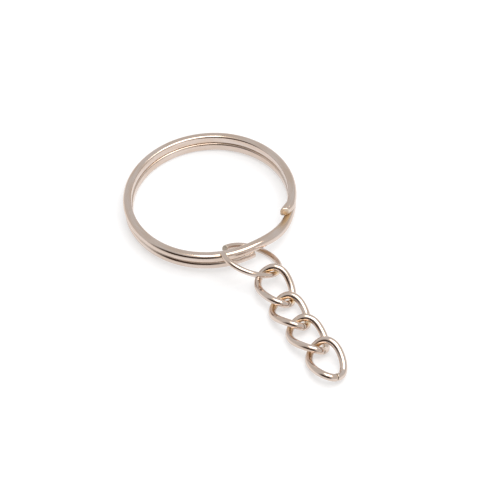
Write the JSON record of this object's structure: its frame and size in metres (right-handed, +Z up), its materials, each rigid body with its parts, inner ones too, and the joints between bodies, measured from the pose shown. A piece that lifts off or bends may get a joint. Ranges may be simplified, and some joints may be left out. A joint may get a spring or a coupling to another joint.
{
  "type": "split key ring with chain",
  "caption": "Double-coil split key ring with a slightly open jump ring and a short chain of twisted curb links, laid flat",
  "frame": {"origin": "middle of the foot of the bounding box, on the table that the object lies on", "axes": "+Z up from the table; the chain runs from the split ring towards -Y; +X to the right when the chain points at the viewer"},
  "size_m": [0.03, 0.059, 0.0056],
  "materials": {
    "split_ring": "polished warm nickel plate on spring steel",
    "jump_ring": "polished warm nickel plate on steel wire",
    "curb_link_1": "polished warm nickel plate on steel wire",
    "curb_link_2": "polished warm nickel plate on steel wire",
    "curb_link_3": "polished warm nickel plate on steel wire",
    "curb_link_4": "polished warm nickel plate on steel wire"
  },
  "bodies": {
    "split_ring": {"split_ring": "split_ring"},
    "jump_ring": {"jump_ring": "jump_ring"},
    "curb_link_1": {"curb_link_1": "curb_link_1"},
    "curb_link_2": {"curb_link_2": "curb_link_2"},
    "curb_link_3": {"curb_link_3": "curb_link_3"},
    "curb_link_4": {"curb_link_4": "curb_link_4"}
  },
  "joints": [
    {"name": "jump_ring_swing", "type": "hinge", "parent": "split_ring", "child": "jump_ring", "pos_m": [0.00013, 0.00034, 0.00298], "axis": [-0.9897, 0.13, -0.06], "range_deg": [-60, 60]},
    {"name": "curb_link_1_swing", "type": "hinge", "parent": "jump_ring", "child": "curb_link_1", "pos_m": [0.00026, -0.00592, 0.00181], "axis": [-0.766, -0.0895, 0.6366], "range_deg": [-70, 70]},
    {"name": "curb_link_2_swing", "type": "hinge", "parent": "curb_link_1", "child": "curb_link_2", "pos_m": [-0.001, -0.01047, 0.00126], "axis": [-0.7705, 0.2402, -0.5904], "range_deg": [-30, 30]},
    {"name": "curb_link_3_swing", "type": "hinge", "parent": "curb_link_2", "child": "curb_link_3", "pos_m": [0.00024, -0.01673, 0.00189], "axis": [-0.9759, 0.1992, -0.0896], "range_deg": [-36, 36]},
    {"name": "curb_link_4_swing", "type": "hinge", "parent": "curb_link_3", "child": "curb_link_4", "pos_m": [-0.00178, -0.02182, 0.00146], "axis": [-0.7012, -0.0501, -0.7112], "range_deg": [-70, 70]}
  ]
}
